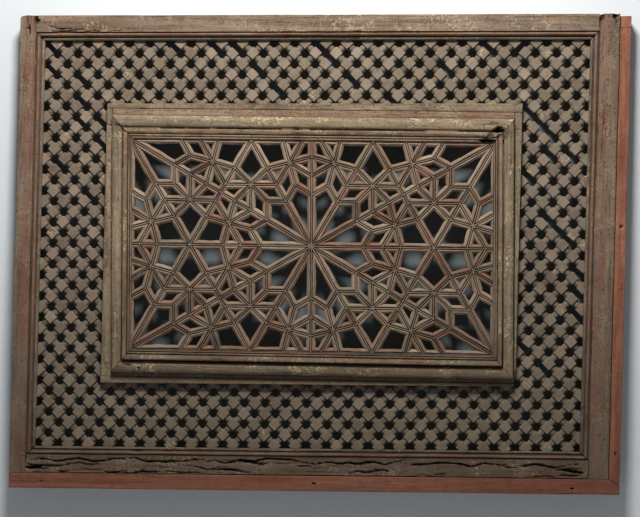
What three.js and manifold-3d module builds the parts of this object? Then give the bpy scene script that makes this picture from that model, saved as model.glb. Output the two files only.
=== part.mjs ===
import * as THREE from 'three';
import Module from 'manifold-3d';

// Carved wooden panel: frame, turned lattice, raised casing and star strapwork.
// Millimetres. X to the right, Y towards the back, Z up.
// The origin is the middle of the underside.

// Openings and fits
const openingW = 988;
const openingH = 740;
const gap = 0.3;
const leanShare = 0.021;

// Outer frame
const frameThick = 42;
const stileLeftW = 44.5;
const stileRightW = 51;
const railTopW = 45;
const railBottomW = 47;
const sillLathH = 28;
const sideLathW = 20;
const sideLathThick = 38;
const sideLathHeadH = 24;
const sideMitreDrop = 12;
const mouldW = 15;
const sightStep = 13;
const beadR = 2.8;
const smallBeadR = 2.1;
const rebateDepth = 8;
const frameArris = 1.2;

// Lattice
const latticeThick = 18;
const latticeFrontY = -5;
const latticeTongue = 6;
const halfColumns = 26.1;
const halfRows = 19.2;
const linkThick = 12;
const leastHoleShare = 0.4;
const trimCover = 4;

// Casing
const starPitch = 381;
const casingShiftX = 3;
const casingShiftZ = -3.5;
const sagShare = 0.0105;
const casingTip = 11;
const casingClearance = 6;
const casingOverlap = 4.2;
const casingSideW = 38;
const casingCoreW = 43.5;
const casingTopW = 55.5;
const casingBottomW = 50;
const casingFrontY = -31;
const casingRelief = 15;
const casingBackY = 14;
const casingRebate = 12;
const trimTopW = 12;
const trimBottomW = 9;
const trimLeftW = 14.5;
const trimRightW = 8.5;
const trimThick = 12;
const trimHeadH = 30;
const trimFootDrop = 27;
const trimFootH = 15;

// Strapwork
const strapW = 16.8;
const strapThick = 12;
const strapFrontY = -19;
const smallestHole = 4;

// Damage
const rotAcross = 15;
const rotUp = 10;
const rotDeep = 18;
const rotInset = 28;
const rotDrop = 33;
const chipSize = 9;
const splitDrop = 17;
const splitH = 5;
const splitDeep = 9;
const splitLong = 22;

const wasm = await Module();
wasm.setup();
const { Manifold, Mesh } = wasm;

const frameFront = -frameThick / 2;
const frameBack = frameThick / 2;
const frameW = stileLeftW + openingW + stileRightW;
const overallW = frameW + gap + sideLathW;
const openingX0 = -overallW / 2 + stileLeftW;
const openingX1 = openingX0 + openingW;
const openingZ0 = sillLathH + gap + railBottomW;
const openingZ1 = openingZ0 + openingH;
const frameTop = openingZ1 + railTopW;
const midX = (openingX0 + openingX1) / 2;
const midZ = (openingZ0 + openingZ1) / 2;
const stepX = openingW / 2 / halfColumns;
const stepZ = openingH / 2 / halfRows;
const sightW = starPitch * Math.sqrt(3) - 2 * casingOverlap;
const sightH = starPitch;
const casX = midX + casingShiftX;
const casZ = midZ + casingShiftZ;
const casLeft = casX - sightW / 2 - casingSideW;
const casRight = casX + sightW / 2 + casingSideW;
const casBottom = casZ - sightH / 2 - casingBottomW;
const casTop = casZ + sightH / 2 + casingTopW;

// Solids in and out of the joining library
function toSolid(geo) {
  const flat = geo.index ? geo.toNonIndexed() : geo;
  const p = flat.attributes.position.array;
  const keys = new Map();
  const verts = [];
  const tris = [];
  for (let i = 0; i < p.length; i += 3) {
    const key = [0, 1, 2].map((k) => Math.round(p[i + k] * 1e4)).join(' ');
    if (!keys.has(key)) {
      keys.set(key, verts.length / 3);
      verts.push(p[i], p[i + 1], p[i + 2]);
    }
    tris.push(keys.get(key));
  }
  const kept = [];
  for (let i = 0; i < tris.length; i += 3) {
    const [a, b, c] = [tris[i], tris[i + 1], tris[i + 2]];
    if (a !== b && b !== c && a !== c) kept.push(a, b, c);
  }
  const mesh = new Mesh({
    numProp: 3,
    vertProperties: new Float32Array(verts),
    triVerts: new Uint32Array(kept),
  });
  return new Manifold(mesh);
}

function toGeometry(solid) {
  const mesh = solid.getMesh();
  const geo = new THREE.BufferGeometry();
  const pos = new Float32Array(mesh.numVert * 3);
  for (let i = 0; i < mesh.numVert; i++) {
    for (let k = 0; k < 3; k++) pos[3 * i + k] = mesh.vertProperties[i * mesh.numProp + k];
  }
  geo.setAttribute('position', new THREE.BufferAttribute(pos, 3));
  geo.setIndex(new THREE.BufferAttribute(new Uint32Array(mesh.triVerts), 1));
  return geo;
}

function join(parts) {
  return toGeometry(Manifold.union(parts.map(toSolid)));
}

function cut(geo, cutters) {
  if (!cutters.length) return geo;
  return toGeometry(toSolid(geo).subtract(Manifold.union(cutters.map(toSolid))));
}

// A closed ring of corners, counterclockwise
function ringArea(ring) {
  let sum = 0;
  for (let i = 0; i < ring.length; i++) {
    const [ax, ay] = ring[i];
    const [bx, by] = ring[(i + 1) % ring.length];
    sum += ax * by - bx * ay;
  }
  return sum / 2;
}

function turned(ring) {
  return ringArea(ring) < 0 ? ring.slice().reverse() : ring;
}

// Board seen from the front: outline in X and Z, thickness along Y
function plate(outline, holes, yFront, yBack) {
  const shape = new THREE.Shape(outline.map(([x, z]) => new THREE.Vector2(x, z)));
  for (const hole of holes) {
    shape.holes.push(new THREE.Path(hole.map(([x, z]) => new THREE.Vector2(x, z))));
  }
  const geo = new THREE.ExtrudeGeometry(shape, {
    depth: yBack - yFront,
    bevelEnabled: false,
    steps: 1,
  });
  geo.rotateX(Math.PI / 2);
  geo.translate(0, yBack, 0);
  return geo;
}

function rectangle(x0, z0, x1, z1) {
  return [[x0, z0], [x1, z0], [x1, z1], [x0, z1]];
}

function box(x0, x1, y0, y1, z0, z1) {
  const geo = new THREE.BoxGeometry(x1 - x0, y1 - y0, z1 - z0);
  geo.translate((x0 + x1) / 2, (y0 + y1) / 2, (z0 + z1) / 2);
  return geo;
}

// Bar with a section given as [d, y]: d runs outwards from the sight edge.
// At distance d the bar reaches from -reach(d) to +reach(d) along its length.
function mouldedBar(section, reach) {
  const ring = turned(section);
  const n = ring.length;
  const pos = [];
  for (const side of [-1, 1]) {
    for (const [d, y] of ring) pos.push(side * reach(d), y, d);
  }
  const contour = ring.map(([d, y]) => new THREE.Vector2(d, y));
  const faces = THREE.ShapeUtils.triangulateShape(contour, []);
  const index = [];
  for (const [a, b, c] of faces) {
    index.push(a, b, c);
    index.push(c + n, b + n, a + n);
  }
  for (let i = 0; i < n; i++) {
    const j = (i + 1) % n;
    index.push(j, i, i + n);
    index.push(j, i + n, j + n);
  }
  const geo = new THREE.BufferGeometry();
  geo.setAttribute('position', new THREE.Float32BufferAttribute(pos, 3));
  geo.setIndex(index);
  return geo;
}

// Puts a bar, modelled above its sight edge, on one side of a rectangle
function onSide(geo, side, cx, cz, w, h) {
  const turn = { top: 0, bottom: 180, left: 90, right: -90 }[side];
  const out = side === 'top' || side === 'bottom' ? h / 2 : w / 2;
  geo.translate(0, 0, out);
  geo.rotateY((-turn * Math.PI) / 180);
  geo.translate(cx, 0, cz);
  return geo;
}

// Points of an arc in a section
function arc(d, y, rd, ry, from, to, steps) {
  const out = [];
  for (let i = 0; i <= steps; i++) {
    const a = ((from + ((to - from) * i) / steps) * Math.PI) / 180;
    out.push([d + rd * Math.cos(a), y - ry * Math.sin(a)]);
  }
  return out;
}

// Sight-edge moulding of the outer frame, with the rebate for the lattice
function frameMoulding(width) {
  const lip = latticeFrontY - gap;
  return [
    [0, lip],
    [0, frameFront + sightStep],
    ...arc(width * 0.18, frameFront + sightStep, smallBeadR, smallBeadR, 160, 20, 3),
    [width * 0.36, frameFront + sightStep * 0.9],
    [width * 0.44, frameFront + sightStep * 0.8],
    ...arc(width * 0.66, frameFront + sightStep * 0.45, beadR, beadR, 170, 20, 4),
    [width * 0.88, frameFront + sightStep * 0.35],
    [width * 0.94, frameFront],
    [width, frameFront],
    [width, frameBack],
    [rebateDepth, frameBack],
    [rebateDepth, lip],
  ];
}

function boardSection(from, to) {
  const a = frameArris;
  return [
    [from, frameFront],
    [to - a, frameFront],
    [to, frameFront + a],
    [to, frameBack],
    [from, frameBack],
  ];
}

function rail(side, width) {
  const moulding = frameMoulding(mouldW).filter(([d]) => d < mouldW);
  const board = boardSection(mouldW, width);
  const cutAt = moulding.findIndex(([, y]) => y === frameBack);
  const ring = [...moulding.slice(0, cutAt), ...board.slice(1), ...moulding.slice(cutAt)];
  const reach = (d) => openingW / 2 + Math.min(d, mouldW) - 2 * gap;
  return onSide(mouldedBar(ring, reach), side, midX, midZ, openingW, openingH);
}

function stile(side, width) {
  const reach = (d) => openingH / 2 + d - gap;
  const strip = onSide(mouldedBar(frameMoulding(mouldW), reach), side, midX, midZ, openingW, openingH);
  const sign = side === 'left' ? -1 : 1;
  const inner = midX + sign * (openingW / 2 + mouldW - gap);
  const outer = midX + sign * (openingW / 2 + width);
  const a = frameArris;
  const ring = [
    [inner, frameFront],
    [outer - sign * a, frameFront],
    [outer, frameFront + a],
    [outer, frameBack],
    [inner, frameBack],
  ];
  const z0 = sillLathH + gap;
  const board = standing(ring, z0, frameTop);
  return join([strip, board]);
}

// Upright with a section given as [x, y]
function standing(ring, z0, z1) {
  const shape = new THREE.Shape(turned(ring).map(([x, y]) => new THREE.Vector2(x, y)));
  const geo = new THREE.ExtrudeGeometry(shape, { depth: z1 - z0, bevelEnabled: false, steps: 1 });
  geo.translate(0, 0, z0);
  return geo;
}

// Casing members: two beads, a raised band, a hollow, a large torus and, on the
// long members, a plain margin outside the mitred core. Rebated behind.
const bandShare = 0.42;
function casingSection(core, width) {
  const at = (u) => u * core;
  const low = casingFrontY + casingRelief;
  const r = casingRelief;
  return [
    [0, casingBackY],
    [0, low],
    ...arc(at(0.055), low, at(0.045), r * 0.17, 160, 10, 3),
    ...arc(at(0.15), low - r * 0.1, at(0.045), r * 0.17, 160, 10, 3),
    [at(0.21), low - r * 0.3],
    [at(0.29), low - r * 0.55],
    [at(0.38), low - r * 0.63],
    [at(bandShare), low - r * 0.55],
    [at(bandShare + 0.01), low - r * 0.25],
    [at(bandShare + 0.05), low - r * 0.25],
    ...arc(at(0.73), casingFrontY + r * 0.4, at(0.245), r * 0.4, 165, 10, 6),
    [at(0.985), casingFrontY + r * 0.7],
    [core, low],
    ...(width > core ? [[width, low]] : []),
    [width, latticeFrontY - gap],
    [width - casingRebate, latticeFrontY - gap],
    [width - casingRebate, casingBackY],
  ];
}

function casingMember(side) {
  const upright = side === 'left' || side === 'right';
  const width = { top: casingTopW, bottom: casingBottomW, left: casingSideW, right: casingSideW }[side];
  const core = upright ? casingSideW : casingCoreW;
  const half = upright ? sightH / 2 : sightW / 2;
  const across = upright ? casingCoreW : casingSideW;
  const reach = (d) => half + Math.min(d / core, 1) * across - gap;
  const bar = onSide(mouldedBar(casingSection(core, width), reach), side, casX, casZ, sightW, sightH);
  if (upright) return bar;
  const y0 = latticeFrontY - gap;
  const notch = (x0, x1) => box(x0, x1, y0, casingBackY + 1, casBottom - 1, casTop + 1);
  return cut(bar, [
    notch(casLeft - 1, casLeft + casingRebate),
    notch(casRight - casingRebate, casRight + 1),
  ]);
}

// Trim strips and short blocks on the lattice round the casing, butted together
function trims() {
  const y1 = latticeFrontY - gap;
  const y0 = y1 - trimThick;
  const yBlock = casingFrontY + casingRelief;
  const x0 = casLeft - gap;
  const x1 = casRight + gap;
  const z0 = casBottom - gap;
  const z1 = casTop + gap;
  const head = casTop - trimHeadH;
  const foot = casZ - sightH / 2 - trimFootDrop;
  return {
    trim_top: box(x0 - trimLeftW, x1 + trimRightW, y0, y1, z1, z1 + trimTopW),
    trim_bottom: box(x0 - trimLeftW, x1, y0, y1, z0 - trimBottomW, z0),
    trim_left: box(x0 - trimLeftW, x0, y0, y1, foot, head - gap),
    trim_right: box(x1, x1 + trimRightW, y0, y1, foot, head - gap),
    trim_left_head: box(x0 - trimLeftW, x0, yBlock, y1, head, casTop),
    trim_right_head: box(x1, x1 + trimRightW, yBlock, y1, head, casTop),
    trim_left_foot: box(x0 - trimLeftW, x0, y0 + 1, y1, foot - trimFootH, foot - gap),
  };
}

// Keeps the part of a convex ring inside a rectangle
function clip(ring, [x0, z0, x1, z1]) {
  const sides = [
    [0, x0, 1],
    [0, x1, -1],
    [1, z0, 1],
    [1, z1, -1],
  ];
  let out = ring;
  for (const [axis, limit, sign] of sides) {
    const next = [];
    for (let i = 0; i < out.length; i++) {
      const p = out[i];
      const q = out[(i + 1) % out.length];
      const dp = sign * (p[axis] - limit);
      const dq = sign * (q[axis] - limit);
      if (dp >= 0) next.push(p);
      if (dp * dq < 0) {
        const t = dp / (dp - dq);
        next.push([p[0] + t * (q[0] - p[0]), p[1] + t * (q[1] - p[1])]);
      }
    }
    out = next;
  }
  return out;
}

// Drops corners closer together than a tenth of a millimetre
function tidy(ring) {
  return ring.filter((p, i) => {
    const q = ring[(i + 1) % ring.length];
    return Math.hypot(p[0] - q[0], p[1] - q[1]) > 0.1;
  });
}

// Moves every side of a convex ring inwards
function inset(ring, by) {
  const r = turned(ring);
  const n = r.length;
  const lines = r.map((p, i) => {
    const q = r[(i + 1) % n];
    const len = Math.hypot(q[0] - p[0], q[1] - p[1]);
    const nx = -(q[1] - p[1]) / len;
    const nz = (q[0] - p[0]) / len;
    return [nx, nz, nx * p[0] + nz * p[1] + by];
  });
  return lines.map((b, i) => {
    const a = lines[(i + n - 1) % n];
    const det = a[0] * b[1] - a[1] * b[0];
    return [(a[2] * b[1] - b[2] * a[1]) / det, (a[0] * b[2] - b[0] * a[2]) / det];
  });
}

// Where links are broken out, the holes run together into slots.
// Each entry: column and row of the first hole, slope, number of holes.
// Columns and rows are half steps from the middle of the opening.
const brokenRuns = [
  [-26, 19, -1, 2], [-26, 17, -1, 2], [-23, 16, -1, 2], [-23, 14, -1, 2],
  [-14, 19, -1, 2], [-10, 19, -1, 2], [-8, 19, -1, 2], [-6, 17, -1, 2],
  [-4, 15, -1, 2], [0, 19, -1, 3], [3, 16, -1, 2], [12, 17, -1, 2],
  [16, 19, -1, 2], [19, 18, 1, 2], [7, 14, -1, 2], [20, 13, -1, 4],
  [24, 9, -1, 2], [22, 9, -1, 2], [20, 7, -1, 2], [22, 3, -1, 4],
  [25, -2, -1, 2], [25, -4, -1, 2], [25, -6, -1, 2], [20, -9, -1, 2],
  [22, -11, -1, 2], [-23, 12, -1, 2], [-21, 12, -1, 2], [-21, 10, -1, 2],
  [-22, 5, -1, 2], [-25, 8, -1, 2],
];

// Lattice holes: squares on their corners between the blocks
function latticeHoles() {
  const pitch = Math.hypot(stepX, stepZ);
  const rx = stepX * (1 - linkThick / pitch);
  const rz = stepZ * (1 - linkThick / pitch);
  const taken = new Set();
  const rings = [];
  for (const [i, k, slope, count] of brokenRuns) {
    for (let s = 0; s < count; s++) taken.add(`${i + s} ${k + s * slope}`);
    const x0 = midX + i * stepX;
    const z0 = midZ + k * stepZ;
    const x1 = x0 + (count - 1) * stepX;
    const z1 = z0 + (count - 1) * slope * stepZ;
    rings.push([[x0 - rx, z0], [x0, z0 - slope * rz], [x1 + rx, z1], [x1, z1 + slope * rz]]);
  }
  const columns = Math.ceil(halfColumns);
  const rows = Math.ceil(halfRows);
  for (let i = -columns; i <= columns; i++) {
    for (let k = -rows; k <= rows; k++) {
      if ((i + k) % 2 === 0 || taken.has(`${i} ${k}`)) continue;
      const x = midX + i * stepX;
      const z = midZ + k * stepZ;
      rings.push([[x - rx, z], [x, z - rz], [x + rx, z], [x, z + rz]]);
    }
  }
  const whole = 2 * rx * rz;
  const edgeX = Math.floor(halfColumns) * stepX;
  const edgeZ = Math.floor(halfRows) * stepZ;
  const out = [];
  for (const ring of rings) {
    const part = tidy(clip(turned(ring), [midX - edgeX, midZ - edgeZ, midX + edgeX, midZ + edgeZ]));
    if (part.length > 2 && ringArea(part) > leastHoleShare * whole) out.push(part);
  }
  return out;
}

// A band of lattice: a plate with the holes cut through it
function latticeBand(holes, [x0, z0, x1, z1], covered) {
  const y1 = latticeFrontY + latticeThick;
  const cutters = [];
  for (const ring of holes) {
    const cx = ring.reduce((sum, p) => sum + p[0], 0) / ring.length;
    const cz = ring.reduce((sum, p) => sum + p[1], 0) / ring.length;
    if (cx > covered[0] && cx < covered[2] && cz > covered[1] && cz < covered[3]) continue;
    const left = clip(ring, [x0, z0, x1, z1]);
    if (left.length < 3 || ringArea(left) < 1) continue;
    cutters.push(plate(ring, [], latticeFrontY - 1, y1 + 1));
  }
  return cut(plate(rectangle(x0, z0, x1, z1), [], latticeFrontY, y1), cutters);
}

function latticeBands() {
  const t = latticeTongue;
  const tuck = casingRebate - casingClearance;
  const inX0 = casLeft + tuck;
  const inX1 = casRight - tuck;
  const inZ0 = casBottom + tuck;
  const inZ1 = casTop - tuck;
  const covered = [
    casLeft - trimLeftW - trimCover,
    casBottom - trimBottomW - trimCover,
    casRight + trimRightW + trimCover,
    casTop + trimTopW + trimCover,
  ];
  const outer = [openingX0 - t, openingZ0 - t, openingX1 + t, openingZ1 + t];
  const holes = latticeHoles();
  const g = gap / 2;
  const bands = {
    lattice_top: [outer[0], inZ1 + g, outer[2], outer[3]],
    lattice_bottom: [outer[0], outer[1], outer[2], inZ0 - g],
    lattice_left: [outer[0], inZ0 + g, inX0, inZ1 - g],
    lattice_right: [inX1, inZ0 + g, outer[2], inZ1 - g],
  };
  const out = {};
  for (const [name, area] of Object.entries(bands)) out[name] = latticeBand(holes, area, covered);
  return out;
}

// Junctions of the twelve-pointed star pattern, distances from a star centre
function starFaces() {
  const s = starPitch;
  const rA = ((Math.sqrt(3) - 1) / 3) * s;
  const rR = s / 3;
  const rS = (1 - 1 / Math.sqrt(3)) * s;
  const rP = ((Math.sqrt(3) - 1) / Math.sqrt(6)) * s;
  const rQ = s / Math.sqrt(6);
  const rT = s / Math.sqrt(3);
  const rM = s / 2;
  const tW = (2 / Math.sqrt(3) - 1) * s;
  const tU = rA;
  const polar = (r, deg) => {
    const a = (deg * Math.PI) / 180;
    return [r * Math.cos(a), r * Math.sin(a)];
  };
  const along = (from, to, dist) => {
    const len = Math.hypot(to[0] - from[0], to[1] - from[1]);
    const f = dist / len;
    return [from[0] + f * (to[0] - from[0]), from[1] + f * (to[1] - from[1])];
  };
  const out = [];
  const row = (s * Math.sqrt(3)) / 2;
  const centres = [[0, 0], [row, s / 2], [row, -s / 2], [-row, s / 2], [-row, -s / 2]];
  for (const [cx, cz] of centres) {
    const put = (ring) => out.push(ring.map(([x, z]) => [x + cx, z + cz]));
    for (let k = 0; k < 12; k++) {
      const a = 30 * k;
      put([[0, 0], polar(rA, a), polar(rP, a + 15), polar(rA, a + 30)]);
      for (const m of [-1, 1]) {
        put([polar(rA, a), polar(rR, a), polar(rQ, a + 15 * m), polar(rP, a + 15 * m)]);
        const toT = k % 2 === 0;
        const q = polar(rQ, a + 15 * m);
        if (toT) {
          const t = polar(rT, a);
          const mid = polar(rM, a + 30 * m);
          put([t, polar(rS, a), q, along(t, mid, tW)]);
          put([q, along(t, mid, tU), mid, polar(rS, a + 30 * m)]);
        }
      }
    }
  }
  return out;
}

function strapwork() {
  const w = (starPitch * Math.sqrt(3)) / 2;
  const h = starPitch / 2;
  const keep = [-w, -h, w, h];
  const area = [
    -sightW / 2 + casingOverlap / 2,
    -h + strapW / 2,
    sightW / 2 - casingOverlap / 2,
    h - strapW / 2,
  ];
  const holes = [];
  for (const face of starFaces()) {
    const middle = face.reduce(([x, z], p) => [x + p[0] / face.length, z + p[1] / face.length], [0, 0]);
    if (middle[0] < keep[0] || middle[0] > keep[2]) continue;
    if (middle[1] < keep[1] || middle[1] > keep[3]) continue;
    const ring = tidy(clip(inset(face, strapW / 2), area));
    if (ring.length > 2 && ringArea(ring) > smallestHole * smallestHole) holes.push(ring);
  }
  const moved = (ring) => ring.map(([x, z]) => [x + casX, z + casZ]);
  const edgeX = sightW / 2 - gap;
  const edgeZ = sightH / 2 - gap;
  const outline = rectangle(-edgeX, -edgeZ, edgeX, edgeZ);
  const y1 = strapFrontY + strapThick;
  const panel = plate(moved(outline), [], strapFrontY, y1);
  return cut(panel, holes.map((ring) => plate(moved(ring), [], strapFrontY - 1, y1 + 1)));
}

// Uneven stub used for rot and chips
function gouge(x, y, z, rx, ry, rz, seed) {
  const geo = new THREE.IcosahedronGeometry(1, 0);
  const p = geo.attributes.position;
  for (let i = 0; i < p.count; i++) {
    const wob = 0.85 + 0.15 * Math.sin(seed + 5 * p.getX(i) + 3 * p.getY(i) + 7 * p.getZ(i));
    p.setXYZ(i, p.getX(i) * rx * wob, p.getY(i) * ry * wob, p.getZ(i) * rz * wob);
  }
  geo.translate(x, y, z);
  return geo;
}

function laths() {
  const x0 = -overallW / 2;
  const x1 = overallW / 2;
  const stileEdge = x0 + frameW + gap;
  const top = sillLathH;
  const sill = [[x0, 0], [x1, 0], [x1, top - sideMitreDrop - gap], [stileEdge, top], [x0, top]];
  const side = [
    [stileEdge, top + gap * 1.5],
    [x1, top - sideMitreDrop + gap * 0.5],
    [x1, frameTop - sideLathHeadH - gap],
    [stileEdge, frameTop - sideLathHeadH - gap],
  ];
  const head = rectangle(stileEdge, frameTop - sideLathHeadH, x1, frameTop - 4);
  const y0 = frameFront + (frameThick - sideLathThick);
  return {
    lath_bottom: plate(sill, [], frameFront, frameBack),
    lath_right: plate(side, [], y0, frameBack),
    lath_right_head: plate(head, [], y0 + 1, frameBack),
  };
}

// Everything, before the lean that the panel has taken
const woodRoughness = 0.9;
const shades = {
  frame: 0x6f6352,
  casing: 0x8f8069,
  lattice: 0x6d645b,
  strap: 0x7d6a5b,
  red: 0x7a4d3d,
};

function shadeOf(name) {
  if (name.startsWith('lath')) return shades.red;
  if (name.startsWith('lattice')) return shades.lattice;
  if (name.startsWith('casing') || name.startsWith('trim')) return shades.casing;
  if (name.startsWith('strap')) return shades.strap;
  return shades.frame;
}

const stileHeadX = openingX1 + mouldW;
const pieces = {
  stile_left: stile('left', stileLeftW),
  stile_right: cut(stile('right', stileRightW), [
    gouge(stileHeadX, frameFront, frameTop, chipSize, chipSize * 2, chipSize * 1.3, 1),
    gouge(openingX1 + stileRightW * 0.8, frameFront, frameTop, chipSize, chipSize * 1.6, chipSize, 4),
  ]),
  rail_top: rail('top', railTopW),
  rail_bottom: cut(rail('bottom', railBottomW), [
    box(openingX0 - splitLong, openingX0, frameFront - 1, frameFront + splitDeep,
      openingZ0 - mouldW - splitDrop - splitH, openingZ0 - mouldW - splitDrop),
    box(openingX1 - splitLong, openingX1 + mouldW, frameFront - 1, frameFront + splitDeep,
      openingZ0 - mouldW - splitDrop - splitH / 2, openingZ0 - mouldW - splitDrop + splitH / 2),
  ]),
  ...laths(),
  casing_top: cut(casingMember('top'), [
    gouge(casRight - rotInset, casingFrontY, casTop - rotDrop, rotAcross, rotDeep, rotUp, 2),
  ]),
  casing_bottom: casingMember('bottom'),
  casing_left: casingMember('left'),
  casing_right: casingMember('right'),
  ...trims(),
  ...latticeBands(),
  strapwork: strapwork(),
};

// The frame and lattice lean. The casing stands upright and sags to the right,
// and its beads, band and strapwork tip forwards at the foot. Trims make up the rest.
function settle(geo, name) {
  const upright = name.startsWith('casing') || name === 'strapwork';
  const trim = name.startsWith('trim');
  const p = geo.attributes.position;
  const share = (v, width) => Math.min(1, Math.max(0, v / width));
  for (let i = 0; i < p.count; i++) {
    const x = p.getX(i);
    const y = p.getY(i);
    const z = p.getZ(i);
    let outX = upright ? 0 : 1;
    let outZ = outX;
    if (trim) {
      outX = share(Math.max(casLeft - gap - x, x - casRight - gap), x < casX ? trimLeftW : trimRightW);
      outZ = share(Math.max(casBottom - gap - z, z - casTop - gap), z < casZ ? trimBottomW : trimTopW);
    }
    p.setX(i, x + leanShare * (outX * z + (1 - outX) * casZ));
    p.setZ(i, z - sagShare * (1 - outZ) * (x - casX));
    if (!upright || y > casingFrontY + casingRelief + strapThick) continue;
    const ux = (Math.abs(x - casX) - sightW / 2) / casingSideW;
    const uz = (Math.abs(z - casZ) - sightH / 2) / casingCoreW;
    if (Math.max(ux, uz) > bandShare + 0.005) continue;
    p.setY(i, y - casingTip * share(casZ + sightH / 2 - z, sightH));
  }
  return geo;
}

const group = new THREE.Group();
group.name = 'carved_wooden_panel';
for (const [name, geo] of Object.entries(pieces)) {
  settle(geo, name);
  const material = new THREE.MeshStandardMaterial({
    color: shadeOf(name),
    roughness: woodRoughness,
    metalness: 0,
  });
  const mesh = new THREE.Mesh(geo, material);
  mesh.name = name;
  group.add(mesh);
}

export default group;
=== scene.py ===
import math
import random

import bmesh
import bpy
from bpy.props import FloatProperty, FloatVectorProperty, PointerProperty
from mathutils import Matrix, Vector, noise


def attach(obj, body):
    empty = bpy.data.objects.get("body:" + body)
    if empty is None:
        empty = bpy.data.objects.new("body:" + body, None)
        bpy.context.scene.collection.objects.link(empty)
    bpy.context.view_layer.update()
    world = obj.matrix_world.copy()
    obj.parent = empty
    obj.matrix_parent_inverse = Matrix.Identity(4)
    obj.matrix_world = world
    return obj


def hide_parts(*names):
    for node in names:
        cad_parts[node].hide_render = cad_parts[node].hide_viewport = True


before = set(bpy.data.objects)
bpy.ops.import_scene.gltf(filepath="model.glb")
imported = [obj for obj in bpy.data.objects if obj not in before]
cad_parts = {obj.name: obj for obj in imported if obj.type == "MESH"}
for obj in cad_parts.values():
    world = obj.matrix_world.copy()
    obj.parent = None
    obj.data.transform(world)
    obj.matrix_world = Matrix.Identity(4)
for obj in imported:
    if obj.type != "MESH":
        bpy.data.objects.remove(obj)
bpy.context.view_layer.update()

bl_info = {
    "name": "Carved wooden panel",
    "version": (1, 0, 0),
    "blender": (4, 5, 0),
    "location": "3D View > Sidebar > Panel",
    "description": "Frame, turned lattice, raised casing and star strapwork of a carved wooden panel",
    "category": "Object",
}

MM = 0.001
TAU = 2 * math.pi

# Sideways lean of the frame per height, and sag of the casing per width
RACK = 0.021
SAG = 0.0105
# How far the casing's inner part stands forward at its foot and head, and what differs at the head
TIP = 11 * MM
TIP_TOP = 6 * MM
BAND_EASE = 0.8 * MM
BEAD_LIFT = 1.5 * MM
NOTCH_FILL = 8 * MM

# Widths, heights and depths, the same as the CAD's
OPENING_W = 988 * MM
OPENING_H = 740 * MM
STILE_LEFT = 44.5 * MM
STILE_RIGHT = 51 * MM
RAIL_TOP = 45 * MM
RAIL_BOTTOM = 47 * MM
SILL_LATH = 28 * MM
SIDE_LATH = 20 * MM
GAP = 0.3 * MM
MOULD = 15 * MM
SIGHT_STEP = 10.5 * MM
FRONT = -21 * MM
BACK = 21 * MM
LATTICE_FRONT = -5 * MM
CASING_FRONT = -31 * MM
RELIEF = 15 * MM
CASING_BACK = 14 * MM
CASING_SIDE = 38 * MM
CASING_CORE = 43.5 * MM
CASING_TOP = 55.5 * MM
CASING_BOTTOM = 50 * MM
REBATE = 12 * MM
BAND = 0.42
TRIM_TOP = 12 * MM
TRIM_BOTTOM = 9 * MM
TRIM_LEFT = 14.5 * MM
TRIM_RIGHT = 8.5 * MM
TRIM_THICK = 12 * MM
TRIM_HEAD = 30 * MM
FOOT_DROP = 27 * MM
STAR = 381 * MM
OVERLAP = 4.2 * MM
HALF_COLUMNS = 26.1
HALF_ROWS = 19.2
STRAP_FRONT = -19 * MM
STRAP_BACK = -7 * MM
# Gaps and spacings that only the visible pieces have
STRAP_JOINT = 0.22 * MM
STRAP_STEP = 7 * MM
BLOCK_THICK = 17.6 * MM
HIDDEN_INSET = 4 * MM
BOARD_SPACING = 1.6 * MM
CASING_SPACING = 2.2 * MM
STRIP_SPACING = 2.0 * MM
SPLIT_FLOOR = 12 * MM
# How unevenly blocks, links and straps sit: lengths, angles in degrees, shares of their size
BLOCK_SHIFT = 0.5 * MM
BLOCK_SINK = 1.3 * MM
BLOCK_TURN = 3.6
BLOCK_TILT = 2.6
BLOCK_UNEVEN = 0.04
LINK_OVERLAP = 0.6 * MM
LINK_SINK = 0.6 * MM
LINK_SHIFT = 0.4 * MM
LINK_UNEVEN = 0.05
STRAP_SINK = 0.6 * MM
STRAP_TILT = 0.5 * MM
STRAP_WAVE = 1.1 * MM
STRAP_WEAR = 0.5 * MM
# The worn head of the left stile, the foot and the head of the right lath
HEAD_WEAR = 4.5 * MM
HEAD_WORN = 20 * MM
SIDE_DROP = 12 * MM
HEAD_BLOCK = 24 * MM
# Where the beads end, as a share of the casing's width like BAND, the near black of the painted shade in
# grooves, pits and nail holes, and the dark of the drying splits
BEADS = 0.2
HOLLOW_SHADE = (0.02, 0.014, 0.011)
SPLIT_INK = (0.012, 0.009, 0.007)

# Wall, a dark sheet of painted shade behind the holes, floor, room light and camera
WALL_HALF = 2.4
WALL_TOP = 1.8
FLOOR_LEVEL = -0.9
FLOOR_HALF = 6
SHADE_CARD_EDGE = 20 * MM
SHADE_CARD_GAP = 0.6 * MM
ROOM_TINT = (0.92, 0.97, 0.97, 1)
ROOM_LIGHT = 0.13
LIGHT_AIM = (0, 0, 0.45)
SENSOR = 36.0
LENS_PER_WIDTH = 1656.4 / 640
CAMERA_PLACE = (0.1693, -3.0017, 0.4253)
CAMERA_TURNS = ((-0.0015, "X"), (-0.0048, "Y"), (0.052, "Z"))

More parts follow.
